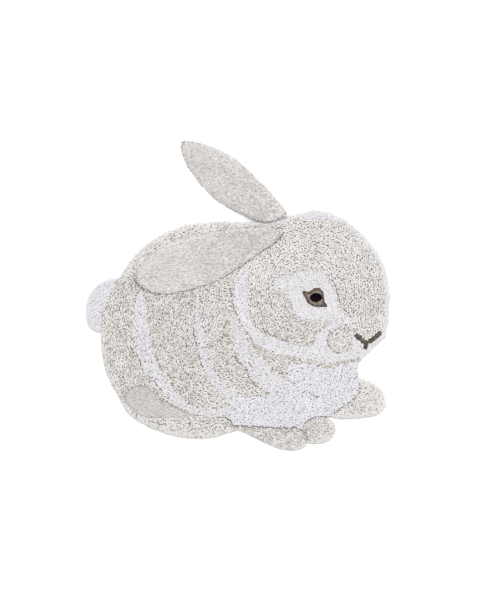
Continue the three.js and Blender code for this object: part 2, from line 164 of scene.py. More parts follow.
def pile_material(name, shades, foot_shade=0.45, mottle=0.05, sheen=0.25):
    """Cotton yarn ends. Each tuft has its own tone and a painted shade that darkens it towards its foot, and
    the colour drifts a little.
    """
    material, nodes, links, yarn = new_material(name)
    place = nodes.new("ShaderNodeTexCoord")
    tone = nodes.new("ShaderNodeAttribute")
    tone.attribute_name = "tone"
    dye = nodes.new("ShaderNodeValToRGB")
    ramp = dye.color_ramp
    while len(ramp.elements) < len(shades):
        ramp.elements.new(0.5)
    for element, (position, colour) in zip(ramp.elements, shades):
        element.position = position
        element.color = (*colour, 1.0)
    links.new(tone.outputs["Fac"], dye.inputs["Fac"])
    drift = nodes.new("ShaderNodeTexNoise")
    fibre = nodes.new("ShaderNodeTexNoise")
    for pattern, scale, detail in ((drift, 11.0, 3.0), (fibre, 900.0, 2.0)):
        pattern.inputs["Scale"].default_value = scale
        pattern.inputs["Detail"].default_value = detail
        links.new(place.outputs["Object"], pattern.inputs["Vector"])
    drift_range = nodes.new("ShaderNodeMapRange")
    drift_range.inputs["From Min"].default_value = 0.3
    drift_range.inputs["From Max"].default_value = 0.7
    drift_range.inputs["To Min"].default_value = 1.0 - mottle
    drift_range.inputs["To Max"].default_value = 1.0 + mottle
    links.new(drift.outputs["Fac"], drift_range.inputs["Value"])
    fibre_range = nodes.new("ShaderNodeMapRange")
    fibre_range.inputs["To Min"].default_value = 0.84
    fibre_range.inputs["To Max"].default_value = 1.14
    links.new(fibre.outputs["Fac"], fibre_range.inputs["Value"])
    # Painted shade: the colour is darkened towards each tuft's foot, by the given share at the very foot.
    depth = nodes.new("ShaderNodeAttribute")
    depth.attribute_name = "depth"
    depth_range = nodes.new("ShaderNodeMapRange")
    depth_range.inputs["To Min"].default_value = 1.0
    depth_range.inputs["To Max"].default_value = 1.0 - foot_shade
    links.new(depth.outputs["Fac"], depth_range.inputs["Value"])
    lit = nodes.new("ShaderNodeMath")
    lit.operation = "MULTIPLY"
    links.new(depth_range.outputs["Result"], lit.inputs[0])
    links.new(fibre_range.outputs["Result"], lit.inputs[1])
    strength = nodes.new("ShaderNodeMath")
    strength.operation = "MULTIPLY"
    links.new(drift_range.outputs["Result"], strength.inputs[0])
    links.new(lit.outputs["Value"], strength.inputs[1])
    dyed = nodes.new("ShaderNodeVectorMath")
    dyed.operation = "SCALE"
    links.new(dye.outputs["Color"], dyed.inputs[0])
    links.new(strength.outputs["Value"], dyed.inputs["Scale"])
    links.new(dyed.outputs["Vector"], yarn.inputs["Base Color"])
    relief = nodes.new("ShaderNodeBump")
    relief.inputs["Strength"].default_value = 0.5
    relief.inputs["Distance"].default_value = 0.5 * MM
    links.new(fibre.outputs["Fac"], relief.inputs["Height"])
    links.new(relief.outputs["Normal"], yarn.inputs["Normal"])
    yarn.inputs["Roughness"].default_value = 0.95
    yarn.inputs["Specular IOR Level"].default_value = 0.15
    yarn.inputs["Sheen Weight"].default_value = sheen
    yarn.inputs["Sheen Roughness"].default_value = 0.6
    return material


beige_shades = [(0.0, (0.505, 0.475, 0.45)), (0.14, (0.605, 0.58, 0.555)), (0.34, (0.695, 0.675, 0.655)),
                (1.0, (0.775, 0.76, 0.745))]
beige_yarn = pile_material("beige_yarn", beige_shades)
# Painted shade: the bed is a darker beige than the yarn, to stand for the shade deep between the tufts.
shaded_bed_colours = [(0.0, (0.46, 0.43, 0.405)), (1.0, (0.52, 0.49, 0.465))]
shaded_bed_yarn = pile_material("shaded_bed_yarn", shaded_bed_colours)
canvas = canvas_material()

bed_levels = [(0.0, CANVAS_EDGE), (CANVAS_EDGE, CANVAS_EDGE), (BED_TOP, BED_INSET)]
bed = new_piece("pile_bed", slab("pile_bed", outline_of("rug_body"), bed_levels))
bed.data.materials.append(shaded_bed_yarn)
bed.data.materials.append(canvas)
for face in bed.data.polygons:
    face.material_index = 1 if face.center.z < CANVAS_EDGE else 0
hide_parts("rug_body")

# The rabbit's shape on the backing, as the tufter marks it out: lobes for the torso, head, tail and paws.
# Where lobes overlap they are one, and their outer edge is the rim of the rug.
torso_outline = [(60, 236), (-90, 236), (-200, 216), (-300, 160), (-374, 72), (-425, -25), (-444, -126),
                 (-430, -241), (-385, -335), (-356, -385), (-303, -423), (-190, -462), (-85, -465), (-18, -447),
                 (60, -430), (218, -446), (300, -395), (378, -335), (385, -275), (388, -222), (330, -60),
                 (240, 120), (205, 215), (172, 249), (150, 260), (128, 264), (106, 256), (88, 240)]
head_outline = [(120, 238), (190, 262), (262, 273), (323, 257), (382, 218), (435, 163), (476, 95), (494, 5),
                (491, -70), (481, -131), (435, -181), (400, -215), (370, -270), (230, -300), (80, -200),
                (10, 0), (50, 160)]
tail_outline = [(-345, 50), (-400, 54), (-450, 35), (-482, -5), (-493, -60), (-479, -108), (-440, -125),
                (-380, -110), (-340, -30)]
near_paw_outline = [(-50, -420), (20, -447), (85, -480), (145, -503), (195, -505), (222, -490), (220, -462),
                    (203, -430), (110, -400), (10, -400)]
middle_paw_outline = [(212, -440), (228, -410), (270, -398), (305, -410), (318, -440), (300, -473),
                      (255, -485), (222, -478)]
far_paw_outline = [(386, -271), (441, -288), (475, -322), (482, -361), (455, -390), (400, -401), (320, -402),
                   (290, -385), (325, -345), (355, -295)]
MARK_STEP = 2 * MM
MARK_REACH = 0.516
FINE_STEPS = 14
AREA_STEP = 8 * MM
RIM_STEP = 4 * MM
BAND_STEP = 3 * MM
marks = np.arange(-MARK_REACH, MARK_REACH + MARK_STEP / 2, MARK_STEP)
across, upward = np.meshgrid(marks, marks)


def smooth_line(points, closed, step):
    """A smooth line through given points, at even steps, in metres. A third column is carried along."""
    rows = np.array(points, dtype=float) * MM
    rows[:, 0] += DRAWING_SHIFT[0]
    rows[:, 1] += DRAWING_SHIFT[1]
    if closed:
        ring = np.vstack([rows[-1:], rows, rows[:2]])
    else:
        ring = np.vstack([2 * rows[:1] - rows[1:2], rows, 2 * rows[-1:] - rows[-2:-1]])
    fine = []
    shares = np.linspace(0, 1, FINE_STEPS, endpoint=False)[:, None]
    for a, b, c, d in zip(ring[:-3], ring[1:-2], ring[2:-1], ring[3:]):
        before, here, after = (max(np.linalg.norm(q - p), 1e-9) ** 0.5 for p, q in ((a, b), (b, c), (c, d)))
        start = ((b - a) / before - (c - a) / (before + here) + (c - b) / here) * here
        end = ((c - b) / here - (d - b) / (here + after) + (d - c) / after) * here
        curve = b + start * shares + (-3 * b + 3 * c - 2 * start - end) * shares ** 2
        fine.append(curve + (2 * b - 2 * c + start + end) * shares ** 3)
    line = np.vstack(fine + [ring[1:2] if closed else ring[-2:-1]])
    lengths = np.concatenate([[0], np.cumsum(np.linalg.norm(np.diff(line[:, :2], axis=0), axis=1))])
    count = max(int(round(lengths[-1] / step)), 3)
    places = np.linspace(0, lengths[-1], count + 1)
    spaced = np.stack([np.interp(places, lengths, line[:, column]) for column in range(line.shape[1])], axis=1)
    return spaced[:-1] if closed else spaced


def inside(line, x, y):
    """Which places lie inside a closed line."""
    found = np.zeros(np.shape(x), dtype=bool)
    for (ax, ay), (bx, by) in zip(line, np.roll(line, -1, axis=0)):
        if ay != by:
            found ^= ((ay > y) != (by > y)) & (x < (bx - ax) * (y - ay) / (by - ay) + ax)
    return found


def within(points, x=across, y=upward):
    """Which places lie inside a smooth outline through given points."""
    return inside(smooth_line(points, True, AREA_STEP), x, y)


def nearest(line, x=across, y=upward):
    """For every place, how far the nearest point of a line is, and which one it is."""
    best = np.full(np.shape(x), np.inf)
    which = np.zeros(np.shape(x), dtype=int)
    for index, point in enumerate(line):
        gap = (x - point[0]) ** 2 + (y - point[1]) ** 2
        closer = gap < best
        best[closer] = gap[closer]
        which[closer] = index
    return np.sqrt(best), which


def along_band(rows):
    """Which places lie on a band, from its middle line and its width there."""
    line = smooth_line(rows, False, BAND_STEP)
    gap, which = nearest(line)
    return gap < line[which, 2] / 2


lobes = [torso_outline, head_outline, tail_outline, near_paw_outline, middle_paw_outline, far_paw_outline]
whole_mat = np.any([within(lobe) for lobe in lobes], axis=0)


def rim_of_mat():
    """Stretches of the lobes' outlines that no other lobe covers: place and outward direction."""
    stretches = []
    for lobe in lobes:
        line = smooth_line(lobe, True, RIM_STEP)
        tangent = np.roll(line, -1, axis=0) - np.roll(line, 1, axis=0)
        tangent /= np.linalg.norm(tangent, axis=1)[:, None]
        outward = np.stack([tangent[:, 1], -tangent[:, 0]], axis=1) * (1.0 if anticlockwise(line) else -1.0)
        covered = np.zeros(len(line), dtype=bool)
        for other in lobes:
            if other is not lobe:
                covered |= within(other, line[:, 0], line[:, 1])
        stretches.append((line, outward, ~covered))
    return stretches


rim = rim_of_mat()
rim_points = np.vstack([line[free] for line, outward, free in rim])
rim_gap, rim_which = nearest(rim_points)
rim_x = (rim_points[rim_which, 0] - across) / np.maximum(rim_gap, 1e-6)
rim_y = (rim_points[rim_which, 1] - upward) / np.maximum(rim_gap, 1e-6)

# The carved lines: the tufter leaves a narrow furrow, or shears one in, along the edges that should show,
# such as under the chest, around the middle paw, round the muzzle, beside the cheek and over the haunch.
furrows = [
    [(-22, -423, 5), (0, -426, 6), (60, -429, 6), (130, -432, 6), (198, -436, 6), (212, -447, 5)],
    [(212, -445, 5), (216, -422, 6), (238, -402, 6), (272, -396, 5), (300, -397, 4)],
    [(-60, -397, 4), (-38, -399, 5), (-22, -410, 6), (-16, -426, 5)],
    [(396, -285, 3), (398, -308, 4), (370, -344, 5), (330, -374, 5), (300, -394, 5)],
    [(218, -446, 5), (225, -462, 6), (223, -478, 6)],
    [(232, -321, 3), (246, -327, 4), (262, -333, 3)],
    [(70, -112, 3), (92, -123, 5), (118, -134, 5), (142, -143, 3)],
    [(-23, 18, 3), (-15, -33, 4), (2, -83, 3)],
    [(300, -118, 3), (291, -146, 4), (298, -170, 4), (320, -189, 4), (348, -190, 3)],
    [(304, 54, 2.5), (316, 30, 3), (324, 5, 4), (334, -25, 3), (348, -50, 3), (366, -67, 2.5)],
    [(122, 218, 3), (135, 216, 5), (148, 213, 3)],
    [(138, 206, 3), (138, 199, 4), (137, 192, 3)],
    [(-14, -178, 3), (5, -221, 4), (27, -246, 5), (42, -278, 4), (95, -322, 3)],
    [(36, -214, 2.5), (52, -252, 3), (76, -290, 2.5)],
    [(-145, -105, 3), (-140, -135, 5), (-130, -180, 4), (-120, -216, 4), (-108, -246, 3)],
    [(-101, -196, 3), (-95, -207, 5), (-88, -217, 3)],
    [(-346, -172, 3), (-336, -191, 5), (-318, -211, 5), (-316, -240, 3)],
    [(-290, -262, 3), (-272, -275, 4), (-254, -303, 5), (-240, -319, 3)],
    [(-276, -302, 3), (-257, -329, 5), (-250, -341, 5), (-232, -349, 6), (-210, -361, 5), (-167, -382, 3)],
    [(-266, -200, 3), (-256, -218, 4), (-246, -235, 3)],
    [(-222, -246, 3), (-214, -280, 4), (-202, -310, 3)],
]
carved = [smooth_line(rows, False, BAND_STEP) for rows in furrows]
BARE_RIM = 2.0 * MM
free_to_tuft = whole_mat & (rim_gap > BARE_RIM)
claimed = np.full(across.shape, "", dtype="<U16")

# The near ear's print: its padding presses down the pile that it lies on.
PRESSED = 5.0 * MM
PRESSED_BEYOND = 9.0 * MM
NEAR_EAR_TIP = (-333, 58)
NEAR_EAR_TURN = 16.5
ear_print = outline_of("ear_near")


def pressed(x, y):
    """How far the near ear presses the pile down: all of it under the flap, less just below its free edge."""
    gap, which = nearest(ear_print, x, y)
    below = y < NEAR_EAR_TIP[1] * MM + (x - NEAR_EAR_TIP[0] * MM) * math.tan(math.radians(NEAR_EAR_TURN))
    beside = below * np.clip(1.4 - 1.4 * gap / PRESSED_BEYOND, 0, 1)
    return PRESSED * np.where(inside(ear_print, x, y), 1.0, beside)


def in_furrow(x, y):
    """Which places lie in a carved line."""
    found = np.zeros(np.shape(x), dtype=bool)
    for line in carved:
        gap, which = nearest(line, x, y)
        found |= gap < line[which, 2] / 2
    return found


# Tufting: cut yarn pushed through the backing, tuft by tuft. A tuft is a short bud of yarn with an uneven
# head. Tufts lean a little every way, and outward at the rim, and no two have quite the same size or tone.
CLUMP_RISE = 0.9 * MM
CLUMP_WIDTH = 78 * MM
RIM_ROUND = 6 * MM
RIM_COMBED = 16 * MM
SKIRT_ROWS = ((3.6 * MM, 0.0 * MM, 0.1), (8.0 * MM, 0.3 * MM, 0.4), (11.2 * MM, 2.2 * MM, 0.9))
SKIRT_TOP = 9.5 * MM
LEAST_HEIGHT = 0.3 * MM
RIM_DROP = 0.75
RIM_LEAN = 1.2
RIM_LIT = 0.22
SKIRT_SHADE = 0.25
SKIRT_LOW_SHADE = 0.4
PRESSED_SHADE = 0.65
TUFT_WANDER = 0.27
TUFT_SIDES = 5
THINNEST = 0.8
THICKEST = 1.2
ROW_SHARE = math.sqrt(0.75)
COMB_STRAY = 0.5
TONE_MIDDLE = 0.62
TONE_SPREAD = 0.17
DARKEST_TONES = 0.2
TONE_PATCH = 11 * MM
TONE_PATCHES = 100


def clump(x, y):
    """How far the clumped tufts stand above or below their level, as on the solid mat."""
    turn = 2 * math.pi / CLUMP_WIDTH
    slow = np.sin(turn * (x + 0.35 * y)) * np.cos(turn * (0.9 * y - 0.2 * x))
    quick = np.sin(turn * (0.85 * x + 1.7 * y)) * np.cos(turn * (1.9 * x - 0.75 * y))
    return CLUMP_RISE * (0.6 * slow + 0.4 * quick)


def claim(name, area):
    """Marks an area as one yarn's, where no earlier yarn has it."""
    free = whole_mat & area & (claimed == "")
    claimed[free] = name


def mark_at(x, y):
    """The row and column of the mark nearest a place."""
    column = np.clip(np.round((x + MARK_REACH) / MARK_STEP).astype(int), 0, len(marks) - 1)
    row = np.clip(np.round((y + MARK_REACH) / MARK_STEP).astype(int), 0, len(marks) - 1)
    return row, column


def stitch_rows(pitch, chance):
    """Places in staggered rows with a little wander, over the whole drawing."""
    stitches = np.arange(-MARK_REACH, MARK_REACH, pitch)
    rows = np.arange(-MARK_REACH, MARK_REACH, pitch * ROW_SHARE)
    x, y = np.meshgrid(stitches, rows)
    x[1::2] += pitch / 2
    x = x + chance.uniform(-TUFT_WANDER, TUFT_WANDER, x.shape) * pitch
    y = y + chance.uniform(-TUFT_WANDER, TUFT_WANDER, y.shape) * pitch
    return x.ravel(), y.ravel()


def tones(x, y, chance, dark_share, alike=0.08):
    """A tone for each tuft: most are light, a few are dark, and neighbours are somewhat alike."""
    field = chance.normal(0, 1, (TONE_PATCHES, TONE_PATCHES))
    row = ((y + MARK_REACH) / TONE_PATCH).astype(int) % TONE_PATCHES
    column = ((x + MARK_REACH) / TONE_PATCH).astype(int) % TONE_PATCHES
    tone = TONE_MIDDLE + alike * field[row, column] + chance.normal(0, TONE_SPREAD, x.shape)
    dark = chance.uniform(0, 1, x.shape) < dark_share
    tone[dark] = chance.uniform(0, DARKEST_TONES, dark.sum())
    return np.clip(tone, 0, 1)


def tuft_places(name, x, y, z, lean, spin, tone):
    """The tufts' tips as bare points, with their lean, their turn and their tone."""
    mesh = bpy.data.meshes.new(name + "_places")
    mesh.from_pydata(np.stack([x, y, z], axis=1).tolist(), [], [])
    mesh.attributes.new("lean", "FLOAT_VECTOR", "POINT").data.foreach_set(
        "vector", np.asarray(lean, dtype=np.float32).ravel())
    for label, values in (("spin", spin), ("tone", tone)):
        layer = mesh.attributes.new(label, "FLOAT", "POINT")
        layer.data.foreach_set("value", np.asarray(values, dtype=np.float32))
    return mesh


def sown(name, level, pitch, seed, ragged, sway, dark_share, combed_round, lift=0.0):
    """Where a yarn's tufts stand on its area, combed round a middle and, at the rim, outward and down."""
    chance = np.random.default_rng(seed)
    x, y = stitch_rows(pitch, chance)
    row, column = mark_at(x, y)
    mine = (claimed[row, column] == name) & free_to_tuft[row, column]
    x, y = x[mine], y[mine]
    kept = ~in_furrow(x, y)
    x, y = x[kept], y[kept]
    row, column = mark_at(x, y)
    gap = rim_gap[row, column]
    inward = np.clip(1 - gap / RIM_ROUND, 0, 1)
    combed = np.clip(1 - gap / RIM_COMBED, 0, 1)
    z = level + clump(x, y) - RIM_DROP * RIM_ROUND * inward ** 2 + chance.uniform(-ragged, ragged, x.shape)
    z -= pressed(x, y)
    lean = np.stack([rim_x[row, column] * combed * RIM_LEAN + chance.normal(0, sway, x.shape),
                     rim_y[row, column] * combed * RIM_LEAN + chance.normal(0, sway, x.shape),
                     np.ones(x.shape)], axis=1)
    parts = [(x, y, z, lean)]
    for line, outward, free in rim:
        row, column = mark_at(line[:, 0] - outward[:, 0] * RIM_ROUND, line[:, 1] - outward[:, 1] * RIM_ROUND)
        mine = free & (claimed[row, column] == name)
        count = int(mine.sum())
        for height, inset, up in SKIRT_ROWS:
            tips = line[mine] - (inset + chance.uniform(-0.2 * MM, 0.5 * MM, (count, 1))) * outward[mine]
            parts.append((tips[:, 0], tips[:, 1], height + chance.uniform(-MM, MM, count),
                          np.column_stack([outward[mine], np.full(count, up)])
                          + chance.normal(0, 0.12, (count, 3))))
    x, y, z = (np.concatenate([part[index] for part in parts]) for index in range(3))
    lean = np.vstack([part[3] for part in parts])
    row, column = mark_at(x, y)
    # Painted light and shade in the tones: near the rim the tufts are lighter where it faces the lamp, the low
    # skirt rows darker, most of all along lower edges, and the pile just below the near ear's free edge darker,
    # as its painted shadow.
    facing = rim_y[row, column]
    lighter = RIM_LIT * np.clip(1 - rim_gap[row, column] / RIM_COMBED, 0, 1) * (0.5 + 0.5 * facing)
    shaded = (SKIRT_SHADE + SKIRT_LOW_SHADE * np.clip(-facing, 0, 1)) * (z < SKIRT_TOP)
    shaded = shaded + PRESSED_SHADE * pressed(x, y) / PRESSED
    tone = np.clip(tones(x, y, chance, dark_share) + lighter - shaded + lift, 0, 1)
    spin = np.arctan2(x - combed_round[0] * MM, combed_round[1] * MM - y)
    spin = spin + chance.normal(0, COMB_STRAY, x.shape)
    return tuft_places(name, x, y, z, lean, spin, tone)


def tuft_forms(name, radius, height, profile, count, seed, stretch=(1.25, 1.75)):
    """A few uneven tufts with their tips at the origin, longer one way, in a collection of their own."""
    chance = random.Random(seed)
    forms = bpy.data.collections.new(name)
    for copy in range(count):
        verts = []
        faces = []
        drift = (chance.uniform(-0.2, 0.2), chance.uniform(-0.2, 0.2))
        longer = chance.uniform(*stretch)
        for level, width in profile:
            turn = level * chance.uniform(-0.5, 0.5)
            for side in range(TUFT_SIDES):
                angle = math.tau * side / TUFT_SIDES + turn
                reach = radius * width * chance.uniform(0.8, 1.18)
                verts.append((math.cos(angle) * reach * longer + drift[0] * level * radius,
                              math.sin(angle) * reach / longer ** 0.5 + drift[1] * level * radius,
                              (level - 1) * height))
        top = (len(profile) - 1) * TUFT_SIDES
        for low in range(0, top, TUFT_SIDES):
            high = low + TUFT_SIDES
            for side in range(TUFT_SIDES):
                after = (side + 1) % TUFT_SIDES
                faces.append((low + side, low + after, high + after, high + side))
        faces.append(tuple(reversed(range(TUFT_SIDES))))
        verts.append((drift[0] * radius, drift[1] * radius, 0.0))
        faces += [(top + side, top + (side + 1) % TUFT_SIDES, len(verts) - 1) for side in range(TUFT_SIDES)]
        mesh = bpy.data.meshes.new(f"{name}_{copy}")
        mesh.from_pydata(verts, [], faces)
        depth = [1 - level for level, width in profile for _ in range(TUFT_SIDES)] + [0.0]
        mesh.attributes.new("depth", "FLOAT", "POINT").data.foreach_set("value", depth)
        forms.objects.link(bpy.data.objects.new(f"{name}_{copy}", mesh))
    return forms


def tufting_tree():
    """A tuft at every place, turned along its lean and sized at random."""
    tree = bpy.data.node_groups.new("tufting", "GeometryNodeTree")
    sockets = {}
    for label, kind, value in (("Places", "Geometry", None), ("Tufts", "Collection", None),
                               ("Yarn", "Material", None), ("Seed", "Int", 1), ("Thin", "Float", THINNEST),
                               ("Thick", "Float", THICKEST)):
        socket = tree.interface.new_socket(name=label, in_out="INPUT", socket_type="NodeSocket" + kind)
        if value is not None:
            socket.default_value = value
        sockets[label] = socket.identifier
    tree.interface.new_socket(name="Pile", in_out="OUTPUT", socket_type="NodeSocketGeometry")
    nodes = tree.nodes
    join = tree.links.new
    given = nodes.new("NodeGroupInput")
    result = nodes.new("NodeGroupOutput")

    def chance_number(low, high, offset):
        node = nodes.new("FunctionNodeRandomValue")
        node.data_type = "FLOAT"
        join(low, node.inputs[2])
        join(high, node.inputs[3])
        further = nodes.new("ShaderNodeMath")
        join(given.outputs["Seed"], further.inputs[0])
        further.inputs[1].default_value = offset
        join(further.outputs[0], node.inputs["Seed"])
        return node.outputs[1]

    points = nodes.new("GeometryNodeMeshToPoints")
    join(given.outputs["Places"], points.inputs["Mesh"])
    lean = nodes.new("GeometryNodeInputNamedAttribute")
    lean.data_type = "FLOAT_VECTOR"
    lean.inputs["Name"].default_value = "lean"
    upright = nodes.new("FunctionNodeAlignRotationToVector")
    upright.axis = "Z"
    join(lean.outputs["Attribute"], upright.inputs["Vector"])
    own_spin = nodes.new("GeometryNodeInputNamedAttribute")
    own_spin.data_type = "FLOAT"
    own_spin.inputs["Name"].default_value = "spin"
    spin = nodes.new("ShaderNodeCombineXYZ")
    join(own_spin.outputs["Attribute"], spin.inputs["Z"])
    spin_turn = nodes.new("FunctionNodeEulerToRotation")
    join(spin.outputs[0], spin_turn.inputs[0])
    turned = nodes.new("FunctionNodeRotateRotation")
    turned.rotation_space = "LOCAL"
    join(upright.outputs[0], turned.inputs["Rotation"])
    join(spin_turn.outputs[0], turned.inputs["Rotate By"])
    forms = nodes.new("GeometryNodeCollectionInfo")
    forms.inputs["Separate Children"].default_value = True
    forms.inputs["Reset Children"].default_value = True
    join(given.outputs["Tufts"], forms.inputs["Collection"])
    size = nodes.new("ShaderNodeCombineXYZ")
    join(chance_number(given.outputs["Thin"], given.outputs["Thick"], 41), size.inputs["X"])
    join(chance_number(given.outputs["Thin"], given.outputs["Thick"], 42), size.inputs["Y"])
    size.inputs["Z"].default_value = 1.0
    place = nodes.new("GeometryNodeInstanceOnPoints")
    place.inputs["Pick Instance"].default_value = True
    join(points.outputs[0], place.inputs["Points"])
    join(forms.outputs[0], place.inputs["Instance"])
    join(turned.outputs[0], place.inputs["Rotation"])
    join(size.outputs[0], place.inputs["Scale"])
    real = nodes.new("GeometryNodeRealizeInstances")
    join(place.outputs[0], real.inputs[0])
    soft = nodes.new("GeometryNodeSetShadeSmooth")
    join(real.outputs[0], soft.inputs["Geometry"])
    yarn = nodes.new("GeometryNodeSetMaterial")
    join(soft.outputs[0], yarn.inputs["Geometry"])
    join(given.outputs["Yarn"], yarn.inputs["Material"])
    join(yarn.outputs[0], result.inputs[0])
    return tree, sockets


tufting, tufting_inputs = tufting_tree()


def tufted(name, places, forms, yarn, seed):
    """A pile: a tuft at each of its places, made one plain mesh that rides on the rug."""
    holder = bpy.data.objects.new(name + "_places", places)
    bpy.context.scene.collection.objects.link(holder)
    modifier = holder.modifiers.new("tufting", "NODES")
    modifier.node_group = tufting
    for label, value in (("Tufts", forms), ("Yarn", yarn), ("Seed", seed), ("Thin", THINNEST),
                         ("Thick", THICKEST)):
        modifier[tufting_inputs[label]] = value
    graph = bpy.context.evaluated_depsgraph_get()
    mesh = bpy.data.meshes.new_from_object(holder.evaluated_get(graph))
    bpy.data.objects.remove(holder)
    mesh.name = name
    corners = np.empty(3 * len(mesh.vertices), dtype=np.float32)
    mesh.vertices.foreach_get("co", corners)
    corners[2::3] = np.maximum(corners[2::3], LEAST_HEIGHT)
    mesh.vertices.foreach_set("co", corners)
    piece = new_piece(name, mesh)
    return piece


bud_profile = [(0.0, 1.25), (0.6, 1.05), (0.9, 0.72)]
close_profile = [(0.0, 1.6), (0.6, 1.15), (0.9, 0.75)]
long_tufts = tuft_forms("long_tufts", 3.0 * MM, 8.5 * MM, bud_profile, 6, 3)
short_tufts = tuft_forms("short_tufts", 2.8 * MM, 6.0 * MM, close_profile, 5, 7)
TORSO_MIDDLE = (0, -80)
CHEEK_MIDDLE = (170, -30)

# What is marked out first on the backing, so that the wide piles keep clear of it: the eye and the mouth, which
# are stitched in last, and the thin runs of fawn yarn. A yarn never takes a place that an earlier one has.
EYE_CLEAR = 1.5 * MM
MOUTH_CLEAR = 3
iris_outline = [(214, 12), (224, 7), (232, 6), (240, 13), (250, 18), (262, 19), (272, 14), (278, 2), (280, -15),
                (283, -28), (289, -34), (288, -41), (276, -39), (262, -40), (248, -38), (235, -32), (225, -20),
                (219, -7), (212, 6)]
mouth_runs = [
    [(388, -134, 13), (401, -145, 13), (415, -155, 12)],
    [(461, -124, 12), (453, -133, 13), (442, -143, 12), (430, -151, 11), (415, -155, 12)],
    [(415, -155, 12), (416, -163, 11), (415, -171, 13)],
]
fawn_runs = [
    [(150, -204, 10), (180, -209, 10), (225, -221, 9), (280, -232, 9), (308, -236, 8), (342, -221, 8),
     (395, -214, 8)],
    [(8, -84, 5), (14, -105, 8), (34, -131, 9), (56, -167, 12), (77, -185, 9), (95, -214, 8), (132, -246, 8),
     (164, -275, 8), (186, -293, 6)],
    [(-46, -70, 10), (-40, -110, 14), (-34, -150, 12), (-30, -185, 8)],
]
kept_for_mouth = [along_band([(x, y, width + MOUTH_CLEAR) for x, y, width in rows]) for rows in mouth_runs]
claim("iris", nearest(smooth_line(iris_outline, True, BAND_STEP))[0] < EYE_CLEAR)
claim("iris", within(iris_outline))
claim("mouth", np.any(kept_for_mouth, axis=0))
claim("fawn", np.any([along_band(rows) for rows in fawn_runs], axis=0))

# The muzzle: a low round cushion of the coat's beige cotton between the cheek and the lip. It is tufted in
# finer rows than the coat and sheared a little lower.
MUZZLE_TOP = 14.4 * MM
muzzle_outline = [(292, -146), (300, -122), (320, -107), (346, -105), (366, -118), (375, -142), (369, -168),
                  (348, -184), (320, -186), (300, -170)]
claim("muzzle", within(muzzle_outline))
muzzle_places = sown("muzzle", MUZZLE_TOP, 4.9 * MM, 103, 0.6 * MM, 0.22, 0.08, CHEEK_MIDDLE, lift=-0.3)
muzzle = tufted("muzzle_pile", muzzle_places, long_tufts, beige_yarn, 103)

# The white yarn of the face: short and smooth, sheared lower than the coat. It makes the patch round the
# eye, the ring round the cheek, the lip and chin, the crown, and the thin edge down the face.
FACE_WHITE_TOP = 12.8 * MM
eye_patch_outline = [(112, 35), (150, 62), (200, 76), (262, 76), (292, 56), (312, 18), (322, -25), (340, -55),
                     (372, -82), (352, -100), (328, -98), (275, -82), (225, -84), (185, -65), (168, -15),
                     (140, 18)]
lip_outline = [(375, -130), (400, -152), (437, -150), (470, -118), (505, -95), (500, -150), (450, -195),
               (405, -218), (362, -196), (372, -165)]
crown_outline = [(195, 250), (190, 290), (280, 300), (360, 262), (374, 226), (330, 233), (270, 244)]
white_runs = [
    [(20, 78, 28), (10, 0, 50), (26, -85, 36), (60, -135, 44), (140, -170, 46), (205, -185, 42),
     (270, -195, 50), (335, -205, 42), (385, -197, 36)],
    [(262, -182, 50), (280, -141, 50), (305, -106, 36), (333, -85, 26)],
    [(370, 224, 16), (425, 168, 13), (463, 105, 12), (484, 30, 14), (488, -20, 18), (486, -100, 22)],
    [(10, 229, 12), (70, 231, 14), (118, 232, 16), (140, 236, 20), (165, 243, 20)],
]
white_shades = [(0.0, (0.55, 0.535, 0.55)), (0.35, (0.64, 0.625, 0.64)), (1.0, (0.71, 0.695, 0.715))]
white_yarn = pile_material("white_yarn", white_shades, foot_shade=0.2, mottle=0.03)
claim("face_white", np.any([within(outline) for outline in (eye_patch_outline, lip_outline, crown_outline)]
                           + [along_band(rows) for rows in white_runs], axis=0))
face_places = sown("face_white", FACE_WHITE_TOP, 4.7 * MM, 101, 0.25 * MM, 0.12, 0.0, CHEEK_MIDDLE, lift=0.03)
face_white = tufted("face_white", face_places, short_tufts, white_yarn, 101)

# The jaw line: a thin run of fawn cotton under the cheek's ring, with a streak of it down to the chest and
# some flecks of it on the flank, tufted into the lines that were kept free for it.
FAWN_TOP = 14.6 * MM
fawn_shades = [(0.0, (0.29, 0.22, 0.185)), (0.25, (0.54, 0.495, 0.46)), (1.0, (0.72, 0.70, 0.675))]
fawn_yarn = pile_material("fawn_yarn", fawn_shades)
fawn_places = sown("fawn", FAWN_TOP, 4.0 * MM, 102, 0.8 * MM, 0.25, 0.42, CHEEK_MIDDLE)
fawn_lines = tufted("fawn_lines", fawn_places, short_tufts, fawn_yarn, 102)

# The chest: cool white cotton, tufted through the same backing with the longest ends of all and left rough,
# as fur.
CHEST_TOP = 17.0 * MM
chest_outline = [(-20, -335), (70, -335), (150, -300), (175, -228), (300, -238), (390, -216), (394, -275),
                 (386, -318), (340, -368), (270, -398), (222, -411), (204, -434), (90, -431), (-15, -424),
                 (-25, -385)]
cool_shades = [(0.0, (0.555, 0.545, 0.575)), (0.35, (0.645, 0.635, 0.665)), (1.0, (0.73, 0.72, 0.755))]
cool_yarn = pile_material("cool_white_yarn", cool_shades, foot_shade=0.3, mottle=0.03)
chest_tufts = tuft_forms("chest_tufts", 2.9 * MM, 9.0 * MM, close_profile, 6, 5)
claim("chest", within(chest_outline))
chest_places = sown("chest", CHEST_TOP, 4.9 * MM, 111, 0.8 * MM, 0.2, 0.01, TORSO_MIDDLE, lift=-0.04)
chest = tufted("chest_pile", chest_places, chest_tufts, cool_yarn, 111)

